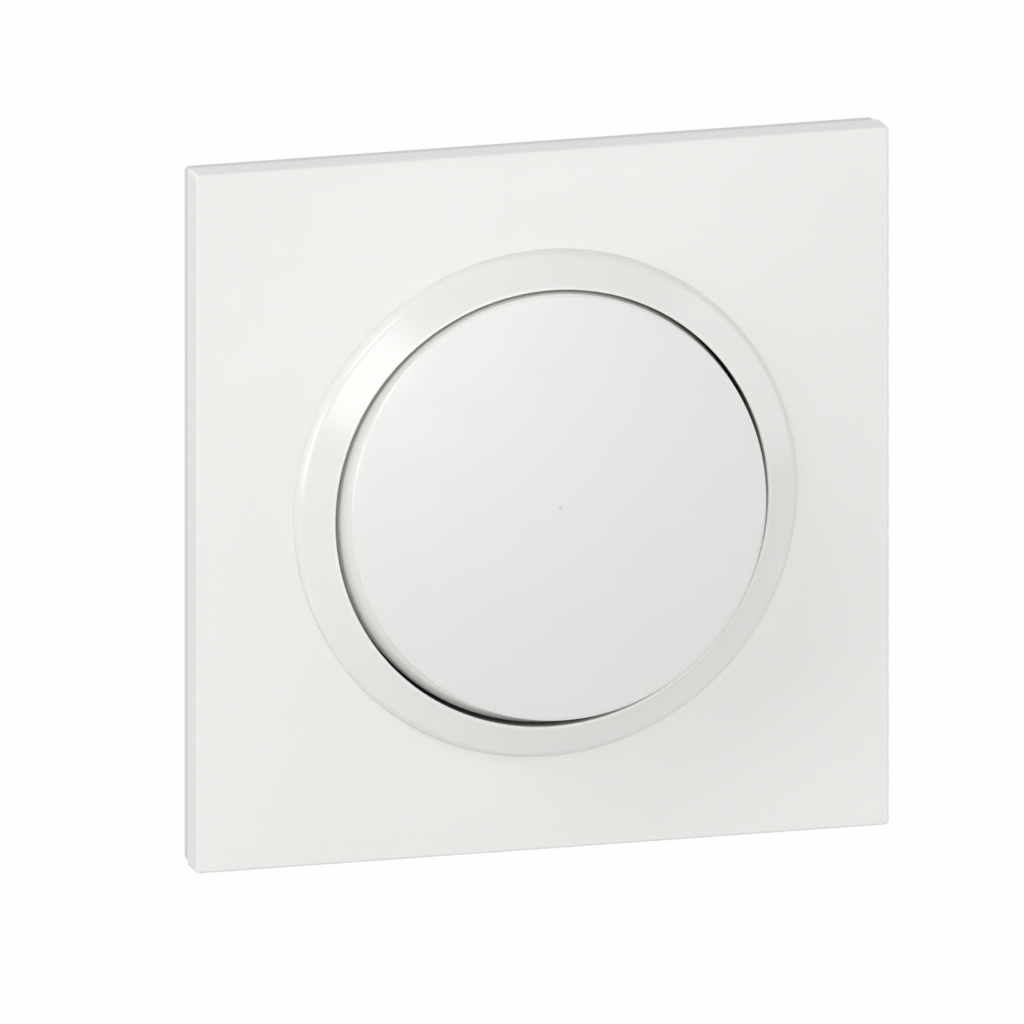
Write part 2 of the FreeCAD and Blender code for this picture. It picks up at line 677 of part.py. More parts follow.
def clamp_line():
    """The V of a right-hand clamp in plan: where its outer face starts, bends and meets the bar."""
    front = BLADE_BACK - CLAMP_FRONT
    start = Vector(CLAMP_X, BASE_INNER_BACK - CLAMP_END_GAP, 0)
    bend = Vector(CLAMP_X, front, 0)
    tip = Vector(BAR_IN - CLAMP_T - CLAMP_TIP_GAP, front + CLAMP_DROP, 0)
    return start, bend, tip


def wire_clamp(side, z):
    """A strip of spring steel bent to a V, whose long leg presses the wire on the bar."""
    start, bend, tip = clamp_line()
    first, middle, last = corner_points(start, bend, tip, CLAMP_BEND_R)
    path = Part.Wire([
        Part.LineSegment(start, first).toShape(),
        Part.Arc(first, middle, last).toShape(),
        Part.LineSegment(last, tip).toShape(),
    ])
    strip = path.makeOffset2D(CLAMP_T, join=0, fill=True, openResult=True)
    clamp = strip.extrude(Vector(0, 0, CLAMP_W))
    clamp.translate(Vector(0, 0, z - CLAMP_W / 2))
    return clamp if side > 0 else mirrored(clamp)


def release_front():
    """How far forward a release pusher reaches at rest, just short of the clamps' long legs."""
    start, bend, tip = clamp_line()
    slope = (tip.y - bend.y) / (tip.x - bend.x)
    return bend.y + slope * (RELEASE_OUT - bend.x) + RELEASE_GAP


def release_pusher(side):
    half = RELEASE_W / 2
    stem = box(
        RELEASE_IN, RELEASE_OUT, release_front(), BASE_BACK + RELEASE_PROUD,
        RELEASE_Z - half, RELEASE_Z + half,
    )
    wide = half + RELEASE_SHOULDER
    shoulder_back = BASE_INNER_BACK - FIT
    shoulder = box(
        RELEASE_IN, RELEASE_OUT, shoulder_back - RELEASE_SHOULDER_T, shoulder_back,
        RELEASE_Z - wide, RELEASE_Z + wide,
    )
    pusher = stem.fuse(shoulder).removeSplitter()
    return pusher if side > 0 else mirrored(pusher)


def pieces():
    """Every separate piece of the switch, by name."""
    made = {
        "cover_plate": cover_plate(),
        "trim_ring": trim_ring(),
        "button_cap": button_cap(),
        "button_cradle": button_cradle(),
        "support_frame": support_frame(),
        "mechanism_cover": mechanism_cover(),
        "mechanism_base": mechanism_base(),
        "plunger": plunger(),
        "return_spring": return_spring(),
        "contact_blade": contact_blade(),
        "blade_rivet": blade_rivet(),
        "moving_contact": moving_contact(),
        "fixed_contact": fixed_contact(),
        "common_terminal": common_terminal(),
        "switched_terminal": switched_terminal(),
    }
    for side, name in ((-1, "common"), (1, "switched")):
        made[name + "_release"] = release_pusher(side)
        for z, level in zip(WIRE_Z, ("lower", "upper")):
            made[name + "_clamp_" + level] = wire_clamp(side, z)
    return made


os.makedirs("parts", exist_ok=True)
for node, shape in pieces().items():
    shape.exportStep("parts/" + node + ".step")
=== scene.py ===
import json
import math

import bmesh
import bpy
from mathutils import Matrix, Vector


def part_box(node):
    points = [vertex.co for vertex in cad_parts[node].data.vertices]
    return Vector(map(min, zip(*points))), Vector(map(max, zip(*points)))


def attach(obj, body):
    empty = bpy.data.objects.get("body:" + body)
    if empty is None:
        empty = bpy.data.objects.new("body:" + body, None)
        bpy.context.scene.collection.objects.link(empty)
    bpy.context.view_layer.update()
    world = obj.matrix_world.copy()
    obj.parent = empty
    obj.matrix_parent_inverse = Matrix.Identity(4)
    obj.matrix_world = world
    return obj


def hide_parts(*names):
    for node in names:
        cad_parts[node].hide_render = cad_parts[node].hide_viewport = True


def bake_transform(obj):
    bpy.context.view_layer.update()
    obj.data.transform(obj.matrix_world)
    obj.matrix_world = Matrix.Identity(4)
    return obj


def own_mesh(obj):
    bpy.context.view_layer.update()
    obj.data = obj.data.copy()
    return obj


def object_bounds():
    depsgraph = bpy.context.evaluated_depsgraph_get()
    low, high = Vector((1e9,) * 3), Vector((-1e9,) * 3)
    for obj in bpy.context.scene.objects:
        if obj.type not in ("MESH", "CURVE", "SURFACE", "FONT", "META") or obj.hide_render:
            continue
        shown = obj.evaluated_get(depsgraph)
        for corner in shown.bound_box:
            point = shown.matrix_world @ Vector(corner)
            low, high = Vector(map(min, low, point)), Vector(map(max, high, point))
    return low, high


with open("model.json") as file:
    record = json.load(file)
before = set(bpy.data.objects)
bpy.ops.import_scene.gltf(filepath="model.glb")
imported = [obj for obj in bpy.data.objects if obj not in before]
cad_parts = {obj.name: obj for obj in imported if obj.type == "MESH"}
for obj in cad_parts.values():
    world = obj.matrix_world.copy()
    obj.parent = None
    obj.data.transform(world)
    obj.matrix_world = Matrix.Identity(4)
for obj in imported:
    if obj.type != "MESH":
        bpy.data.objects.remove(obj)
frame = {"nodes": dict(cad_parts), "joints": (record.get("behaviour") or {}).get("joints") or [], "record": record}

bl_info = {
    "name": "Push Button Light Switch",
    "version": (1, 0, 0),
    "blender": (4, 5, 0),
    "location": "3D View > Sidebar > Light Switch",
    "description": "Models and finishes the plate, ring, button and mechanism of a wall switch",
    "category": "Object",
}

# The frame is in metres: X to the right, Y into the wall and Z up, with the wall's surface at Y = 0.
CAD_BOX = [list(corner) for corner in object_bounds()]
PRESS = next(joint for joint in frame["joints"] if joint["name"] == "button_press")
PIVOT = Vector(PRESS["pos_m"])
INTO_WALL = Vector((0, 1, 0))
FACING_ROOM = Matrix.Rotation(math.radians(90), 4, "X")
BUTTON_FLARE = 0.001
TURN_STEPS = 256
SHARP_ANGLE = math.radians(32)
FLAT_ANGLE = math.radians(0.6)
FOLD_ANGLE = math.radians(60)
TINY = 1e-6
NEAR = 10 * TINY

# Sockets of the Mix node for colours
MIX_A, MIX_B, MIX_RESULT = 6, 7, 2

# Widths in metres of the patches in the plastics' tone and gloss, the metals' tarnish and the drawing lines
TONE_PATCH, GLOSS_PATCH, TARNISH_PATCH, DRAWING_LINE = 0.022, 0.004, 0.0016, 0.0004
DRAWING_HEIGHT = 0.00001

# How far the roughness goes below and above its level
PLASTIC_SPREAD, METAL_SPREAD = 0.08, 0.2

# Shares of the piece's own tone: the drift and the tarnish are paler and duller places that it has, the plate's
# recess is darker as painted shade, the ring's rim and the button's skirt are paler as painted highlight and
# painted light, and the gate's mark is darker
DRIFT_SHARE, TARNISH_SHARE = 0.985, 0.82
RECESS_SHADE_SHARE, RIM_HIGHLIGHT_SHARE, SKIRT_LIGHT_SHARE, GATE_SHARE = 0.8, 1.08, 1.12, 0.8
SKIRT_ROUGHNESS = 0.12
BUTTON_SPECULAR = 0.9
GATE_DEPTH = 0.00006

# Plastics: roughness, width of the grain and its height, in metres
PLASTICS = {
    "plate": (0.42, 0.00022, 0.000004),
    "ring": (0.16, 0.006, 0.000006),
    "button": (0.3, 0.0009, 0.000003),
    "frame": (0.5, 0.0003, 0.00001),
    "housing": (0.48, 0.0003, 0.00001),
    "deck": (0.55, 0.0003, 0.00001),
    "plunger": (0.4, 0.0004, 0.000008),
    "pusher": (0.38, 0.0003, 0.000008),
}

# Metals: roughness, and how the drawing lines are stretched along X, Y and Z
METALS = {
    "brass": (0.3, (1, 1, 0.06)),
    "bronze": (0.28, (0.06, 1, 1)),
    "silver": (0.3, (1, 1, 1)),
    "steel": (0.25, (1, 1, 1)),
}

# Parts of the mechanism that keep their CAD form, with soft edges: node, edge radius in metres, finish.
MOULDINGS = (
    ("support_frame", 0.00022, "frame"),
    ("mechanism_base", 0.00022, "housing"),
    ("mechanism_cover", 0.00012, "deck"),
    ("button_cradle", 0.00012, "deck"),
    ("plunger", 0.00012, "plunger"),
    ("common_release", 0.00015, "pusher"),
    ("switched_release", 0.00015, "pusher"),
)
METALWORK = (
    ("common_terminal", 0.00006, "brass"),
    ("switched_terminal", 0.00006, "brass"),
    ("blade_rivet", 0.00012, "brass"),
    ("fixed_contact", 0.00015, "silver"),
)
BLADE_PARTS = (
    ("contact_blade", 0.00004, "bronze"),
    ("moving_contact", 0.00015, "silver"),
)
CLAMP_EDGE, COIL_EDGE = 0.00004, 0.00015

# Blocks that the legs and hooks are made of, each from its lowest to its highest corner
CLIP_LEG = (  # foot, tongue and barb behind the plate
    ((0.0302, -0.0049, 0.0200), (0.0328, -0.0020, 0.0280)),
    ((0.0308, -0.0021, 0.0215), (0.0322, -0.0001, 0.0265)),
    ((0.0321, -0.0009, 0.0215), (0.0330, -0.0001, 0.0265)),
)
SNAP_LEG = (  # post and catch of the ring, with X measured from the sleeve's inside
    ((0.0, -0.0049, -0.0020), (0.0012, -0.0006, 0.0020)),
    ((-0.0006, -0.0019, -0.0020), (0.0001, -0.0006, 0.0020)),
)
CRADLE_HOOK = (  # arm and catch of the button, with Y measured from the underside of its face
    ((0.0045, -0.0004, 0.0081), (0.0095, 0.0027, 0.0093)),
    ((0.0045, 0.0019, 0.0075), (0.0095, 0.0027, 0.0082)),
)


def length(name, description, default):
    return bpy.props.FloatProperty(
        name=name, description=description, default=default, min=0.0, precision=5, unit="LENGTH"
    )


def power(name, description, default):
    return bpy.props.FloatProperty(
        name=name, description=description, default=default, min=0.0, unit="POWER"
    )


def turn(name, description, degrees):
    return bpy.props.FloatProperty(
        name=name, description=description, default=math.radians(degrees), subtype="ANGLE"
    )


def colour(name, description, default):
    return bpy.props.FloatVectorProperty(
        name=name, description=description, default=default, min=0.0, max=1.0, size=3, subtype="COLOR"
    )


class SWITCH_PG_plate(bpy.types.PropertyGroup):
    """Sizes of the cover plate"""

    half_side: length("Half side", "Half the plate's width and height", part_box("cover_plate")[1].x)
    edge_depth: length("Edge depth", "From the wall to the plate's front edges", 0.0057)
    crown: length("Crown", "How far the front swells out towards the middle", 0.0019)
    border: length("Border", "Flat strip between the front's swell and the plate's sides", 0.0008)
    rebate: length("Rebate", "Depth of the recessed strip along the wall", 0.0022)
    rebate_inset: length("Rebate inset", "How far the strip is set back from the sides", 0.0003)
    wall: length("Wall", "Thickness of the moulding", 0.0018)
    corner_radius: length("Corner radius", "Rounding of the four corners", 0.00045)
    edge_radius: length("Edge radius", "Rounding of the front edges", 0.0003)
    overlap: length("Overlap", "How far the ring's flange laps over the plate's opening", 0.0006)


class SWITCH_PG_ring(bpy.types.PropertyGroup):
    """Sizes of the trim ring"""

    outer_radius: length("Outer radius", "Radius of the ring's outside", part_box("trim_ring")[1].x)
    bore_radius: length("Bore radius", "Radius of the hole that the button works in", 0.02495)
    rim_depth: length("Rim depth", "From the wall to the ring's inner rim", 0.0096)
    shoulder_depth: length("Shoulder depth", "From the wall to the ring's outer shoulder", 0.0078)
    seat_gap: length("Seat gap", "Play between the ring's flange and the plate", 0.00005)
    edge_gap: length("Edge gap", "Play between the flange's outer edge and the plate", 0.00002)
    relief: length("Relief", "How much wider the bore is at the deck than at the rim", 0.0004)
    sleeve_wall: length("Sleeve wall", "Thickness of the sleeve round the button", 0.0015)
    seat_depth: length("Seat depth", "From the wall to the deck that the ring stands on", 0.0034)
    shoulder_round: length("Shoulder rounding", "Rounding of the outer shoulder", 0.0009)
    rim_round: length("Rim rounding", "Rounding of the inner rim", 0.0003)


class SWITCH_PG_button(bpy.types.PropertyGroup):
    """Sizes of the push button"""

    radius: length("Radius", "Radius of the button's face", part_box("button_cap")[1].x - BUTTON_FLARE)
    flare: length("Flare", "How much wider the skirt is at its end than at the face", BUTTON_FLARE)
    face_depth: length("Face depth", "From the wall to the rim of the level button's face", 0.0125)
    dome: length("Dome", "Rise of the face's middle above its rim", 0.0005)
    face_thickness: length("Face thickness", "Thickness of the button's face", 0.0018)
    wall: length("Wall", "Thickness of the button's skirt at the face", 0.0014)
    skirt_depth: length("Skirt depth", "From the wall to the end of the level button's skirt", 0.00635)
    edge_round: length("Edge rounding", "Rounding of the face's rim", 0.0003)
    gate_radius: length("Gate radius", "Radius of the moulding gate's mark on the face", 0.00028)
    rest_tilt: turn("Rest tilt", "How far the button leans out at the bottom", 5.6)


class SWITCH_PG_flex(bpy.types.PropertyGroup):
    """Where the contact blade and the wire clamps bend, measured from the switch's middle"""

    tab_end: length("Tab end", "Where the terminal's tab lets go of the blade", 0.0092)
    stem_edge: length("Stem edge", "Where the plunger's stem presses on the blade", 0.0020)
    clamp_bend: length("Clamp bend", "Where a clamp's long leg leaves its bend", 0.0123)
    pusher_edge: length("Pusher edge", "Where a release pusher presses on a clamp's long leg", 0.0142)


class SWITCH_PG_finish(bpy.types.PropertyGroup):
    """Colours of the switch's plastics and metals"""

    plate: colour("Plate", "Satin white of the cover plate", (0.86, 0.86, 0.84))
    ring: colour("Ring", "Polished white of the trim ring", (0.82, 0.82, 0.80))
    button: colour("Button", "White of the push button", (0.72, 0.72, 0.703))
    frame: colour("Frame", "Grey of the support frame", (0.46, 0.46, 0.45))
    housing: colour("Housing", "Pale grey of the housing", (0.62, 0.62, 0.60))
    deck: colour("Deck", "Near black of the deck and the cradle", (0.016, 0.015, 0.014))
    plunger: colour("Plunger", "Cream of the plunger", (0.62, 0.58, 0.46))
    pusher: colour("Pusher", "Orange of the release pushers", (0.72, 0.20, 0.03))
    brass: colour("Brass", "Brass of the terminals and the rivet", (0.72, 0.52, 0.22))
    bronze: colour("Bronze", "Bronze of the contact blade", (0.62, 0.38, 0.20))
    silver: colour("Silver", "Silver of the contacts", (0.82, 0.81, 0.79))
    steel: colour("Steel", "Spring steel of the coil and the clamps", (0.50, 0.50, 0.51))


class SWITCH_PG_stage(bpy.types.PropertyGroup):
    """Camera, lamps and floor"""

    azimuth: turn("Azimuth", "How far the camera stands to the right of the switch", -16.0)
    elevation: turn("Elevation", "How far the camera looks down", 14.4)
    view_width: length("View width", "Width of what the camera sees", 0.11365)
    aim_right: length("Aim right", "How far right of the picture's middle the plate's middle is", 0.00341)
    aim_up: length("Aim up", "How far above the picture's middle the plate's middle is", 0.00129)
    floor_drop: length("Floor drop", "How far below the switch the floor lies", 0.30)
    key_power: power("Key power", "Power of the lamp that shines in the ring's upper left", 1.5)
    front_power: power("Front power", "Power of the lamp that shines in the button's face", 1.65)
    rim_power: power("Rim power", "Power of the lamp that shines in the ring's lower inner rim", 0.5)
    side_power: power("Side power", "Power of the large lamp at the left", 2.2)
    left_power: power("Left power", "Power of the large lamp at the upper left", 2.15)
    right_power: power("Right power", "Power of the large lamp at the right", 1.5)
    back_power: power("Back power", "Power of the large lamp behind, which lights the plate's edges", 2.4)
    top_power: power("Top power", "Power of the large lamp above", 0.4)
    sky_level: bpy.props.FloatProperty(
        name="Sky level", description="Strength of the even light from all round", default=0.315, min=0.0
    )


class Finish:
    """A material's node tree, with short names for the nodes that the finishes share"""

    def __init__(self, name):
        self.material = bpy.data.materials.new(name)
        self.material.use_nodes = True
        self.nodes = self.material.node_tree.nodes
        self.links = self.material.node_tree.links
        self.shader = self.nodes["Principled BSDF"]
        self.place = self.nodes.new("ShaderNodeTexCoord").outputs["Object"]

    def link(self, output, node, socket):
        self.links.new(output, node.inputs[socket])

    def stretched(self, scale):
        mapping = self.nodes.new("ShaderNodeMapping")
        mapping.inputs["Scale"].default_value = scale
        self.link(self.place, mapping, "Vector")
        return mapping.outputs["Vector"]

    def noise(self, size, detail=2.0, place=None):
        """Noise whose patches are about as wide as size, in metres."""
        node = self.nodes.new("ShaderNodeTexNoise")
        node.inputs["Scale"].default_value = 1.0 / size
        node.inputs["Detail"].default_value = detail
        self.link(place or self.place, node, "Vector")
        return node.outputs["Fac"]

    def spread(self, value, low, high, from_low=0.3, from_high=0.7):
        node = self.nodes.new("ShaderNodeMapRange")
        for socket, number in (
            ("From Min", from_low), ("From Max", from_high), ("To Min", low), ("To Max", high)
        ):
            node.inputs[socket].default_value = number
        self.link(value, node, "Value")
        return node.outputs["Result"]

    def between(self, value, first, second):
        node = self.nodes.new("ShaderNodeMix")
        node.data_type = "RGBA"
        node.inputs[MIX_A].default_value = (*first, 1.0)
        node.inputs[MIX_B].default_value = (*second, 1.0)
        self.link(value, node, "Factor")
        return node.outputs[MIX_RESULT]

    def overlay(self, value, tone):
        """Lays another tone over the base colour where a value is one."""
        plain = self.shader.inputs["Base Color"].links[0].from_socket
        mixed = self.between(value, tone, tone)
        self.link(plain, mixed.node, MIX_A)
        self.link(mixed, self.shader, "Base Color")

    def bump(self, height, distance, strength=1.0, onto=None):
        node = self.nodes.new("ShaderNodeBump")
        node.inputs["Distance"].default_value = distance
        node.inputs["Strength"].default_value = strength
        self.link(height, node, "Height")
        if onto is not None:
            self.link(onto, node, "Normal")
        return node.outputs["Normal"]

    def distance(self, point, place=None):
        node = self.nodes.new("ShaderNodeVectorMath")
        node.operation = "DISTANCE"
        node.inputs[1].default_value = point
        self.link(place or self.place, node, 0)
        return node.outputs["Value"]

    def gloss(self, value, roughness):
        """Takes the roughness to another level where a value is one."""
        plain = self.shader.inputs["Roughness"].links[0].from_socket
        node = self.nodes.new("ShaderNodeMix")
        self.link(value, node, "Factor")
        self.link(plain, node, "A")
        node.inputs["B"].default_value = roughness
        self.link(node.outputs["Result"], self.shader, "Roughness")


def shaded(tone, share):
    return tuple(channel * share for channel in tone)


def about(value, share):
    """The ends of a range that goes a share below and above a value."""
    return value * (1 - share), value * (1 + share)


def moulded_plastic(name, tone, roughness, grain, grain_height):
    """Moulded plastic: the tone drifts a little, the gloss is uneven and the tool's grain shows."""
    finish = Finish(name)
    drift = finish.spread(finish.noise(TONE_PATCH), 0.0, 1.0)
    finish.link(finish.between(drift, shaded(tone, DRIFT_SHARE), tone), finish.shader, "Base Color")
    gloss = finish.spread(finish.noise(GLOSS_PATCH, 4.0), *about(roughness, PLASTIC_SPREAD))
    finish.link(gloss, finish.shader, "Roughness")
    finish.link(finish.bump(finish.noise(grain, 3.0), grain_height), finish.shader, "Normal")
    return finish


def rolled_metal(name, tone, roughness, grain):
    """Bright strip or wire with fine drawing lines and slight tarnish."""
    finish = Finish(name)
    finish.shader.inputs["Metallic"].default_value = 1.0
    tarnish = finish.spread(finish.noise(TARNISH_PATCH, 5.0), 0.0, 1.0)
    finish.link(finish.between(tarnish, shaded(tone, TARNISH_SHARE), tone), finish.shader, "Base Color")
    lines = finish.noise(DRAWING_LINE, 4.0, finish.stretched(grain))
    finish.link(finish.spread(lines, *about(roughness, METAL_SPREAD)), finish.shader, "Roughness")
    finish.link(finish.bump(lines, DRAWING_HEIGHT, 0.5), finish.shader, "Normal")
    return finish


def add_painted_recess_shade(finish, sizes, tone):
    """The strip that is set back along the wall is painted darker than the rest of the plate, as painted shade in
    the recess.
    """
    place = finish.nodes.new("ShaderNodeSeparateXYZ")
    finish.link(finish.place, place, "Vector")
    recess = finish.spread(place.outputs["Y"], 0.0, 1.0, -sizes.rebate, -sizes.rebate + NEAR)
    # Painted shade: the plate is painted darker from the rebate's depth back to the wall
    finish.overlay(recess, shaded(tone, RECESS_SHADE_SHARE))


def add_painted_rim_highlight(finish, sizes, tone):
    """The ring's inner rim, painted paler than the rest of the ring: a painted highlight along its rounding and
    the bore inside it.
    """
    away = finish.distance((0, 0, 0), finish.stretched((1.0, 0.0, 1.0)))
    edge = sizes.bore_radius + sizes.rim_round
    rim = finish.spread(away, 1.0, 0.0, edge, edge + sizes.rim_round / 2)
    # Painted highlight: the rim's rounding and the bore are painted paler
    finish.overlay(rim, shaded(tone, RIM_HIGHLIGHT_SHARE))


def add_button_details(finish, sizes, tone):
    """The button's polished rim and skirt, painted paler as painted light on the rim's rounding and the skirt, and
    the mark of the moulding gate at the middle of its face.
    """
    middle = level_to_rest(sizes) @ Vector((0, -sizes.face_depth - sizes.dome, 0))
    away = finish.distance(middle)
    face_end = sizes.radius - sizes.edge_round
    skirt = finish.spread(away, 0.0, 1.0, face_end, face_end + sizes.edge_round / 2)
    # Painted light: the rim's rounding and the skirt are painted paler; the lower roughness below is the real
    # polish
    finish.overlay(skirt, shaded(tone, SKIRT_LIGHT_SHARE))
    finish.gloss(skirt, SKIRT_ROUGHNESS)
    mark = finish.spread(away, 1.0, 0.0, sizes.gate_radius / 2, sizes.gate_radius)
    finish.overlay(mark, shaded(tone, GATE_SHARE))
    grain = finish.shader.inputs["Normal"].links[0].from_socket
    finish.link(finish.bump(mark, GATE_DEPTH, -1.0, grain), finish.shader, "Normal")


def finish_named(context, key):
    """The material of a plastic or a metal, made the first time that it is asked for."""
    name = key + " finish"
    if name in bpy.data.materials:
        return bpy.data.materials[name]
    tone = getattr(context.scene.switch_finish, key)
    if key in METALS:
        finish = rolled_metal(name, tone, *METALS[key])
    else:
        finish = moulded_plastic(name, tone, *PLASTICS[key])
    if key == "plate":
        add_painted_recess_shade(finish, context.scene.switch_plate, tone)
    if key == "ring":
        add_painted_rim_highlight(finish, context.scene.switch_ring, tone)
    if key == "button":
        finish.shader.inputs["Specular IOR Level"].default_value = BUTTON_SPECULAR
        add_button_details(finish, context.scene.switch_button, tone)
    return finish.material


def bevel(bm, edges, width, segments):
    return bmesh.ops.bevel(
        bm, geom=edges, offset=width, offset_type="OFFSET", segments=segments, profile=0.5,
        affect="EDGES", clamp_overlap=True, material=-1,
    )


def block(bm, low, high, rounding=0.0001):
    """A block between two corners, with softened edges; returns its vertices."""
    size = Matrix.Diagonal((*(high - low), 1.0))
    verts = bmesh.ops.create_cube(bm, size=1.0, matrix=Matrix.Translation((low + high) / 2) @ size)["verts"]
    made = bevel(bm, list({edge for vert in verts for edge in vert.link_edges}), rounding, 2)
    return made["verts"]


def blocks(bm, pairs, offset=(0, 0, 0)):
    """The blocks of one leg or hook, moved by an offset; returns their vertices."""
    made = []
    for low, high in pairs:
        made += block(bm, Vector(low) + Vector(offset), Vector(high) + Vector(offset))
    return made


def blocks_in_quarters(bm, pairs, offset=(0, 0, 0)):
    """The same leg or hook in each quarter of the switch, mirrored from the upper right one."""
    for x_side in (-1, 1):
        for z_side in (-1, 1):
            made = blocks(bm, pairs, offset)
            bmesh.ops.scale(bm, verts=made, vec=(x_side, 1, z_side))
            if x_side != z_side:
                faces = list({face for vert in made for face in vert.link_faces})
                bmesh.ops.reverse_faces(bm, faces=faces)


def turned(bm, outline):
    """Turns a closed outline of radius and depth about the switch's middle."""
    verts = [bm.verts.new((radius, depth, 0)) for radius, depth in outline]
    edges = [bm.edges.new(pair) for pair in zip(verts, verts[1:] + verts[:1])]
    bmesh.ops.spin(
        bm, geom=verts + edges, cent=(0, 0, 0), axis=INTO_WALL, angle=2 * math.pi, steps=TURN_STEPS,
        use_merge=True, use_duplicate=False,
    )
    bmesh.ops.remove_doubles(bm, verts=bm.verts, dist=TINY)
    bmesh.ops.recalc_face_normals(bm, faces=bm.faces)


def round_edges(bm, radius, depth):
    """The edges of the circle that a corner of a turned outline has left."""
    def on_circle(vert):
        return (
            abs(math.hypot(vert.co.x, vert.co.z) - radius) < NEAR
            and abs(vert.co.y - depth) < NEAR
        )
    return [edge for edge in bm.edges if all(on_circle(vert) for vert in edge.verts)]


def finished_piece(context, name, bm, finish, body, nodes):
    """Makes an object of a mesh, and lets it stand for its CAD nodes."""
    mesh = bpy.data.meshes.new(name)
    bm.to_mesh(mesh)
    bm.free()
    mesh.polygons.foreach_set("use_smooth", [True] * len(mesh.polygons))
    mesh.set_sharp_from_angle(angle=SHARP_ANGLE)
    mesh.materials.append(finish_named(context, finish))
    piece = bpy.data.objects.new(name, mesh)
    context.scene.collection.objects.link(piece)
    weighted = piece.modifiers.new("flat faces stay flat", "WEIGHTED_NORMAL")
    weighted.keep_sharp = True
    if body:
        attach(piece, body)
    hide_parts(*nodes)
    return piece


def softened_copy(context, node, radius, finish, cuts=()):
    """A CAD piece with its sharp edges broken, as a mould or a stamping leaves them.

    One that is cut across rides on no body.
    """
    bm = bmesh.new()
    bm.from_mesh(frame["nodes"][node].data)
    bmesh.ops.remove_doubles(bm, verts=bm.verts, dist=TINY)
    bmesh.ops.dissolve_limit(bm, angle_limit=FLAT_ANGLE, verts=bm.verts, edges=bm.edges)
    for place in cuts:
        bmesh.ops.bisect_plane(
            bm, geom=[*bm.verts, *bm.edges, *bm.faces], dist=TINY, plane_co=(place, 0, 0), plane_no=(1, 0, 0)
        )
    record = frame["record"]
    body = None if cuts else next(b for b, nodes in record["behaviour"]["bodies"].items() if node in nodes)
    piece = finished_piece(context, node + "_soft", bm, finish, body, [node])
    edges = piece.modifiers.new("broken edges", "BEVEL")
    edges.width, edges.segments = radius, 2
    edges.limit_method, edges.angle_limit = "ANGLE", SHARP_ANGLE
    piece.modifiers.move(1, 0)
    return piece


def level_to_rest(sizes):
    """Swings the level button to where it rests, with its lower part out."""
    swing = Matrix.Rotation(-sizes.rest_tilt, 4, "X")
    return Matrix.Translation(PIVOT) @ swing @ Matrix.Translation(-PIVOT)


def plate_front(sizes, x, z):
    """Depth of the plate's front at a place: straight edges, swelling towards the middle."""
    reach = sizes.half_side - sizes.border
    swell = max(0.0, 1 - (x / reach) ** 2) * max(0.0, 1 - (z / reach) ** 2)
    return -sizes.edge_depth - sizes.crown * swell


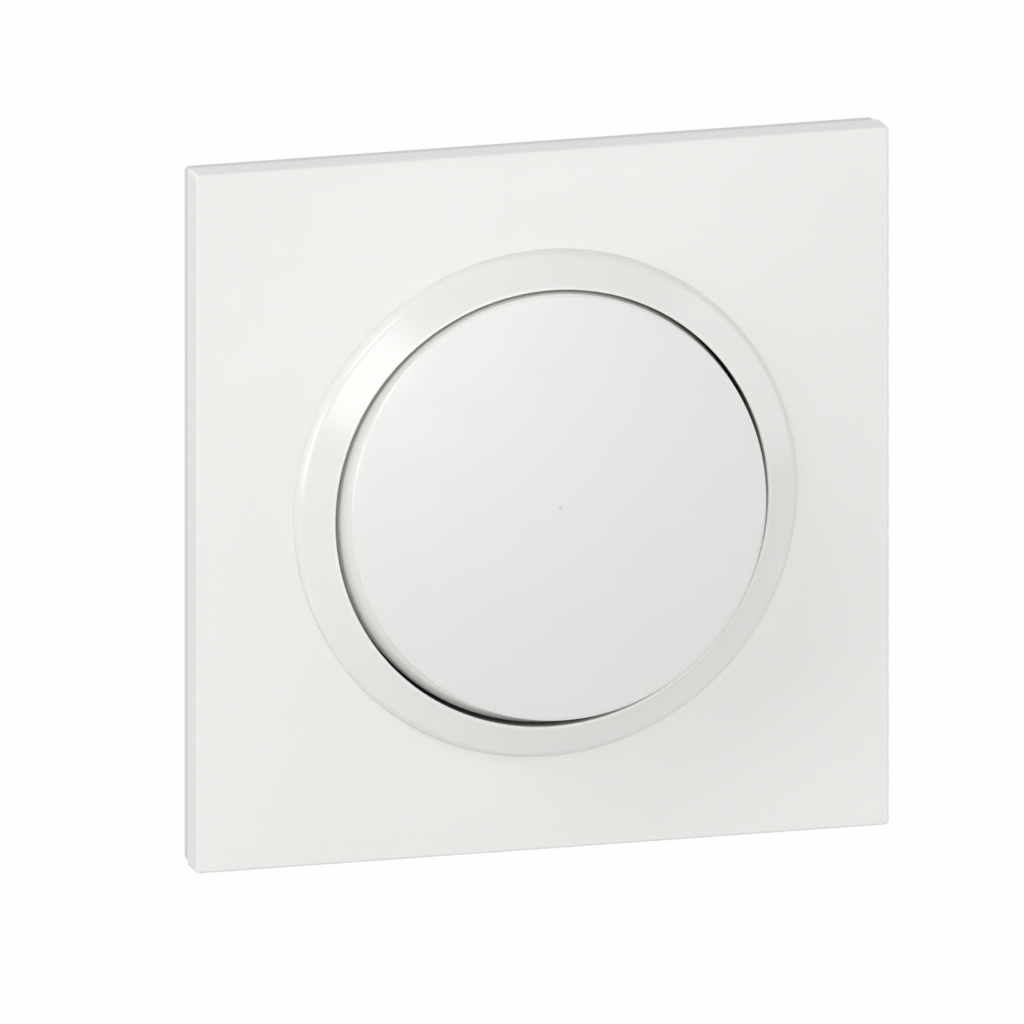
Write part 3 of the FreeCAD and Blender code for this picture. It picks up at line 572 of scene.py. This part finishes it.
class SWITCH_OT_cover_plate(bpy.types.Operator):
    """Models the square cover plate with its crowned front, recessed strip and clip legs"""

    bl_idname = "switch.cover_plate"
    bl_label = "Cover Plate"

    STEPS_ALONG_SIDE = 60
    STEPS_ROUND_CORNER = 6
    STEPS_ACROSS = 14
    STEPS_ROUND_EDGE = 5

    def boundary(self, bm):
        return [edge for edge in bm.edges if edge.is_boundary]

    def outline(self, bm, sizes):
        """A square with rounded corners, divided along its sides."""
        verts = bmesh.ops.create_circle(
            bm, segments=4, radius=sizes.half_side * math.sqrt(2), cap_ends=True,
            matrix=FACING_ROOM @ Matrix.Rotation(math.radians(45), 4, "Z"),
        )["verts"]
        bmesh.ops.bevel(
            bm, geom=verts, offset=sizes.corner_radius, offset_type="OFFSET",
            segments=self.STEPS_ROUND_CORNER, profile=0.5, affect="VERTICES", material=-1,
        )
        bmesh.ops.delete(bm, geom=bm.faces[:], context="FACES_ONLY")
        sides = [edge for edge in bm.edges if edge.calc_length() > sizes.half_side]
        bmesh.ops.subdivide_edges(bm, edges=sides, cuts=self.STEPS_ALONG_SIDE - 1)

    def extrude(self, bm, edges):
        made = bmesh.ops.extrude_edge_only(bm, edges=edges)["geom"]
        new_edges = [g for g in made if isinstance(g, bmesh.types.BMEdge) and g.is_boundary]
        return new_edges, list({vert for edge in new_edges for vert in edge.verts})

    def bridge(self, bm, edges):
        """Fills between the square and the round edge; returns the vertices in between."""
        across = bmesh.ops.bridge_loops(bm, edges=edges)["edges"]
        made = bmesh.ops.subdivide_edges(bm, edges=across, cuts=self.STEPS_ACROSS, use_grid_fill=True)
        return [g for g in made["geom_inner"] if isinstance(g, bmesh.types.BMVert)]

    def hollow_depth(self, sizes, vert):
        """Depth of the hollow behind the front, which follows its swell."""
        return plate_front(sizes, vert.co.x, vert.co.z) + sizes.wall

    def shell(self, sizes, opening):
        """The moulding: front, sides, recessed strip and the hollow behind."""
        bm = bmesh.new()
        self.outline(bm, sizes)
        around = 4 * (self.STEPS_ALONG_SIDE + self.STEPS_ROUND_CORNER)
        bmesh.ops.create_circle(bm, segments=around, radius=opening, matrix=FACING_ROOM)
        self.bridge(bm, bm.edges[:])
        for vert in bm.verts:
            vert.co.y = plate_front(sizes, vert.co.x, vert.co.z)
        middle_ring = (opening + sizes.half_side) / 2
        inner = [e for e in self.boundary(bm) if e.verts[0].co.xz.length < middle_ring]
        outer = [e for e in self.boundary(bm) if e not in inner]
        hole, hole_verts = self.extrude(bm, inner)
        bmesh.ops.translate(bm, verts=hole_verts, vec=INTO_WALL * sizes.wall)
        strip = 1 - sizes.rebate_inset / sizes.half_side
        hollow = 1 - sizes.wall / (sizes.half_side * strip)
        for shrink, level in (
            (1.0, -sizes.rebate), (strip, -sizes.rebate), (1.0, 0.0), (hollow, 0.0), (1.0, None)
        ):
            outer, verts = self.extrude(bm, outer)
            bmesh.ops.scale(bm, verts=verts, vec=(shrink, 1.0, shrink))
            for vert in verts:
                vert.co.y = self.hollow_depth(sizes, vert) if level is None else level
        for vert in self.bridge(bm, outer + hole):
            vert.co.y = self.hollow_depth(sizes, vert)
        bmesh.ops.recalc_face_normals(bm, faces=bm.faces)
        return bm

    def soften(self, bm, sizes):
        """Rounds the front edges."""
        front = [
            e for e in bm.edges
            if all(abs(v.co.y + sizes.edge_depth) < TINY for v in e.verts)
            and e.is_manifold and e.calc_face_angle(0.0) > FOLD_ANGLE
        ]
        bevel(bm, front, sizes.edge_radius, self.STEPS_ROUND_EDGE)

    def execute(self, context):
        sizes = context.scene.switch_plate
        bm = self.shell(sizes, context.scene.switch_ring.outer_radius - sizes.overlap)
        self.soften(bm, sizes)
        blocks_in_quarters(bm, CLIP_LEG)
        finished_piece(context, "crowned_plate", bm, "plate", "housing", ["cover_plate"])
        return {"FINISHED"}


class SWITCH_OT_trim_ring(bpy.types.Operator):
    """Turns the conical trim ring with its sleeve and its four snap legs"""

    bl_idname = "switch.trim_ring"
    bl_label = "Trim Ring"

    STEPS_ROUND_SHOULDER = 6
    STEPS_ROUND_RIM = 5

    def snap_legs(self, bm, sleeve):
        """Four legs between the quarters' axes, which catch in the deck."""
        for quarter in range(4):
            made = blocks(bm, SNAP_LEG, (sleeve, 0, 0))
            turn_leg = Matrix.Rotation(math.radians(45 + 90 * quarter), 4, INTO_WALL)
            bmesh.ops.transform(bm, verts=made, matrix=turn_leg)

    def seat_edge(self, bm, sizes, plate, flange_end):
        """Lets the flange's outer edge follow the plate's swell, so that no wide gap shows round it."""
        for vert in bm.verts:
            if abs(vert.co.y - flange_end) < TINY and vert.co.xz.length > sizes.outer_radius - TINY:
                vert.co.y = plate_front(plate, vert.co.x, vert.co.z) - sizes.edge_gap

    def execute(self, context):
        sizes, plate = context.scene.switch_ring, context.scene.switch_plate
        corner = (sizes.outer_radius - plate.overlap) / math.sqrt(2)
        flange_end = plate_front(plate, corner, corner) - sizes.seat_gap
        sleeve_in = sizes.bore_radius + sizes.relief
        sleeve_out = sleeve_in + sizes.sleeve_wall
        bm = bmesh.new()
        turned(bm, [
            (sleeve_in, -sizes.seat_depth),
            (sizes.bore_radius, -sizes.rim_depth),
            (sizes.outer_radius, -sizes.shoulder_depth),
            (sizes.outer_radius, flange_end),
            (sleeve_out, flange_end),
            (sleeve_out, -sizes.seat_depth),
        ])
        shoulder = round_edges(bm, sizes.outer_radius, -sizes.shoulder_depth)
        bevel(bm, shoulder, sizes.shoulder_round, self.STEPS_ROUND_SHOULDER)
        rim = round_edges(bm, sizes.bore_radius, -sizes.rim_depth)
        bevel(bm, rim, sizes.rim_round, self.STEPS_ROUND_RIM)
        self.seat_edge(bm, sizes, plate, flange_end)
        self.snap_legs(bm, sleeve_in)
        finished_piece(context, "polished_ring", bm, "ring", "housing", ["trim_ring"])
        return {"FINISHED"}


class SWITCH_OT_push_button(bpy.types.Operator):
    """Turns the domed push button and leans it to where it rests"""

    bl_idname = "switch.push_button"
    bl_label = "Push Button"

    DOME_STEPS = 20
    STEPS_ROUND_EDGE = 6

    def execute(self, context):
        sizes = context.scene.switch_button
        ceiling = -sizes.face_depth + sizes.face_thickness
        shares = [step / self.DOME_STEPS for step in range(self.DOME_STEPS + 1)]
        dome = [(sizes.radius * s, -sizes.face_depth - sizes.dome * (1 - s * s)) for s in shares]
        bm = bmesh.new()
        turned(bm, dome + [
            (sizes.radius + sizes.flare, -sizes.skirt_depth),
            (sizes.radius - sizes.wall, -sizes.skirt_depth),
            (sizes.radius - sizes.wall, ceiling),
            (0.0, ceiling),
        ])
        face_rim = round_edges(bm, sizes.radius, -sizes.face_depth)
        bevel(bm, face_rim, sizes.edge_round, self.STEPS_ROUND_EDGE)
        blocks_in_quarters(bm, CRADLE_HOOK, (0, ceiling, 0))
        bmesh.ops.transform(bm, verts=bm.verts, matrix=level_to_rest(sizes))
        finished_piece(context, "domed_button", bm, "button", "button", ["button_cap"])
        return {"FINISHED"}


class SWITCH_OT_mouldings(bpy.types.Operator):
    """Finishes the frame, the housing and the other plastic pieces of the mechanism"""

    bl_idname = "switch.mouldings"
    bl_label = "Mouldings"

    def execute(self, context):
        for node, radius, finish in MOULDINGS:
            softened_copy(context, node, radius, finish)
        return {"FINISHED"}


class SWITCH_OT_metalwork(bpy.types.Operator):
    """Finishes the metal that stays still: the terminals, the blade's rivet and the fixed contact"""

    bl_idname = "switch.metalwork"
    bl_label = "Metalwork"

    def execute(self, context):
        for node, radius, finish in METALWORK:
            softened_copy(context, node, radius, finish)
        return {"FINISHED"}


class SWITCH_OT_flexing_metal(bpy.types.Operator):
    """Models the metal that gives: the contact blade with its tip, the wire clamps and the return spring"""

    bl_idname = "switch.flexing_metal"
    bl_label = "Flexing Metal"

    BEND_STEPS = 12

    def bending(self, context, node, radius, finish, body, start, end):
        """A piece cut across at even steps from start to end; the body is not used."""
        cuts = [start + (end - start) * step / self.BEND_STEPS for step in range(self.BEND_STEPS + 1)]
        piece = softened_copy(context, node, radius, finish, cuts)
        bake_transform(piece)

    def shortening_spring(self, context):
        """The coil behind the plunger's head, with its edges broken and a mesh of its own."""
        spring = softened_copy(context, "return_spring", COIL_EDGE, "steel")
        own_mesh(spring)

    def execute(self, context):
        sizes = context.scene.switch_flex
        for node, radius, finish in BLADE_PARTS:
            self.bending(context, node, radius, finish, "plunger", -sizes.tab_end, -sizes.stem_edge)
        for side, across in (("common", -1), ("switched", 1)):
            start, end = across * sizes.clamp_bend, across * sizes.pusher_edge
            for level in ("lower", "upper"):
                node = f"{side}_clamp_{level}"
                self.bending(context, node, CLAMP_EDGE, "steel", side + "_release", start, end)
        self.shortening_spring(context)
        return {"FINISHED"}


class SWITCH_OT_stage(bpy.types.Operator):
    """Sets up the camera, the lamps, the white surroundings and the floor"""

    bl_idname = "switch.stage"
    bl_label = "Stage"

    CAMERA_DISTANCE = 0.6
    LAMP_DISTANCE = 1.0
    FLOOR_REACH = 6.0
    FLOOR_GREY = (0.66, 0.66, 0.66, 1.0)
    FLOOR_ROUGHNESS = 0.8
    FLOOR_GLOW = 0.99
    WHITE = (1.0, 1.0, 1.0, 1.0)

    # Lamps: azimuth and elevation in degrees, and width in metres
    LAMPS = {
        "key": (-22, 14, 0.4),
        "front": (7, 6, 0.3),
        "rim": (36, 4, 0.3),
        "side": (-75, 8, 0.45),
        "left": (-60, 40, 0.45),
        "right": (60, 10, 0.7),
        "top": (0, 75, 0.5),
        "back": (-160, 50, 0.7),
    }

    def towards(self, azimuth, elevation):
        """A direction from the switch: azimuth to the right of its front, elevation above it."""
        level = Vector((math.sin(azimuth), -math.cos(azimuth), 0)) * math.cos(elevation)
        return level + Vector((0, 0, math.sin(elevation)))

    def camera(self, context, stage):
        back = self.towards(stage.azimuth, stage.elevation)
        facing = (-back).to_track_quat("-Z", "Y")
        middle = Vector((0, -context.scene.switch_plate.edge_depth, 0))
        aim = middle - facing @ Vector((stage.aim_right, stage.aim_up, 0))
        data = bpy.data.cameras.new("photo camera")
        data.type, data.ortho_scale = "ORTHO", stage.view_width
        camera = bpy.data.objects.new("photo camera", data)
        camera.location = aim + back * self.CAMERA_DISTANCE
        camera.rotation_euler = facing.to_euler()
        context.scene.collection.objects.link(camera)
        context.scene.camera = camera

    def lamp(self, context, name, watts):
        """A round lamp that shines at the switch."""
        azimuth, elevation, width = self.LAMPS[name]
        towards = self.towards(math.radians(azimuth), math.radians(elevation))
        data = bpy.data.lights.new(name + " lamp", "AREA")
        data.shape, data.size, data.energy = "DISK", width, watts
        lamp = bpy.data.objects.new(name + " lamp", data)
        lamp.location = towards * self.LAMP_DISTANCE
        lamp.rotation_euler = (-towards).to_track_quat("-Z", "Y").to_euler()
        context.scene.collection.objects.link(lamp)

    def seen_directly(self, nodes, links):
        """Whether a ray comes straight from the camera, a reflection or through glass."""
        path = nodes.new("ShaderNodeLightPath")
        seen = path.outputs["Is Camera Ray"]
        for name in ("Is Glossy Ray", "Is Transmission Ray"):
            either = nodes.new("ShaderNodeMath")
            either.operation = "MAXIMUM"
            links.new(seen, either.inputs[0])
            links.new(path.outputs[name], either.inputs[1])
            seen = either.outputs["Value"]
        return seen

    def mixed(self, nodes, links, share, first, second):
        """Two shaders, mixed by how much of the second there is."""
        mix = nodes.new("ShaderNodeMixShader")
        for source, socket in ((share, 0), (first, 1), (second, 2)):
            links.new(source, mix.inputs[socket])
        return mix.outputs["Shader"]

    def surroundings(self, context, stage):
        world = bpy.data.worlds.new("white surroundings")
        world.use_nodes = True
        nodes, links = world.node_tree.nodes, world.node_tree.links
        even = nodes["Background"]
        even.inputs["Strength"].default_value = stage.sky_level
        even.inputs["Color"].default_value = self.WHITE
        white = nodes.new("ShaderNodeBackground")
        white.inputs["Color"].default_value = self.WHITE
        seen = self.seen_directly(nodes, links)
        sky = self.mixed(nodes, links, seen, even.outputs["Background"], white.outputs["Background"])
        links.new(sky, nodes["World Output"].inputs["Surface"])
        context.scene.world = world

    def floor(self, context, stage):
        bm = bmesh.new()
        bmesh.ops.create_grid(bm, x_segments=1, y_segments=1, size=self.FLOOR_REACH)
        bmesh.ops.translate(bm, verts=bm.verts, vec=(0, 0, CAD_BOX[0][2] - stage.floor_drop))
        mesh = bpy.data.meshes.new("floor")
        bm.to_mesh(mesh)
        bm.free()
        material = bpy.data.materials.new("white floor")
        material.use_nodes = True
        nodes, links = material.node_tree.nodes, material.node_tree.links
        matt = nodes["Principled BSDF"]
        matt.inputs["Base Color"].default_value = self.FLOOR_GREY
        matt.inputs["Roughness"].default_value = self.FLOOR_ROUGHNESS
        glow = nodes.new("ShaderNodeEmission")
        share = nodes.new("ShaderNodeMath")
        share.operation = "MULTIPLY"
        share.inputs[1].default_value = self.FLOOR_GLOW
        links.new(self.seen_directly(nodes, links), share.inputs[0])
        surface = self.mixed(
            nodes, links, share.outputs["Value"], matt.outputs["BSDF"], glow.outputs["Emission"]
        )
        links.new(surface, nodes["Material Output"].inputs["Surface"])
        mesh.materials.append(material)
        floor = bpy.data.objects.new("floor", mesh)
        context.scene.collection.objects.link(floor)

    def execute(self, context):
        stage = context.scene.switch_stage
        context.scene.view_settings.view_transform = "Standard"
        self.camera(context, stage)
        for name in self.LAMPS:
            self.lamp(context, name, getattr(stage, name + "_power"))
        self.surroundings(context, stage)
        self.floor(context, stage)
        return {"FINISHED"}


class SWITCH_PT_panel(bpy.types.Panel):
    """Lists the switch's pieces in the order they are made"""

    bl_idname = "SWITCH_PT_panel"
    bl_label = "Light Switch"
    bl_space_type = "VIEW_3D"
    bl_region_type = "UI"
    bl_category = "Light Switch"

    def draw(self, context):
        for operator in OPERATORS:
            self.layout.operator(operator.bl_idname)
        for name in SETTINGS:
            group = getattr(context.scene, name)
            for setting in group.__annotations__:
                self.layout.prop(group, setting)


SETTINGS = {
    "switch_plate": SWITCH_PG_plate,
    "switch_ring": SWITCH_PG_ring,
    "switch_button": SWITCH_PG_button,
    "switch_flex": SWITCH_PG_flex,
    "switch_finish": SWITCH_PG_finish,
    "switch_stage": SWITCH_PG_stage,
}
OPERATORS = (
    SWITCH_OT_cover_plate,
    SWITCH_OT_trim_ring,
    SWITCH_OT_push_button,
    SWITCH_OT_mouldings,
    SWITCH_OT_metalwork,
    SWITCH_OT_flexing_metal,
    SWITCH_OT_stage,
)


def register():
    for cls in (*SETTINGS.values(), *OPERATORS, SWITCH_PT_panel):
        bpy.utils.register_class(cls)
    for name, group in SETTINGS.items():
        setattr(bpy.types.Scene, name, bpy.props.PointerProperty(type=group))


def unregister():
    for name in SETTINGS:
        delattr(bpy.types.Scene, name)
    for cls in reversed((*SETTINGS.values(), *OPERATORS, SWITCH_PT_panel)):
        bpy.utils.unregister_class(cls)


def main():
    register()
    bpy.ops.switch.cover_plate()
    bpy.ops.switch.trim_ring()
    bpy.ops.switch.push_button()
    bpy.ops.switch.mouldings()
    bpy.ops.switch.metalwork()
    bpy.ops.switch.flexing_metal()
    bpy.ops.switch.stage()


if __name__ == "__main__":
    main()
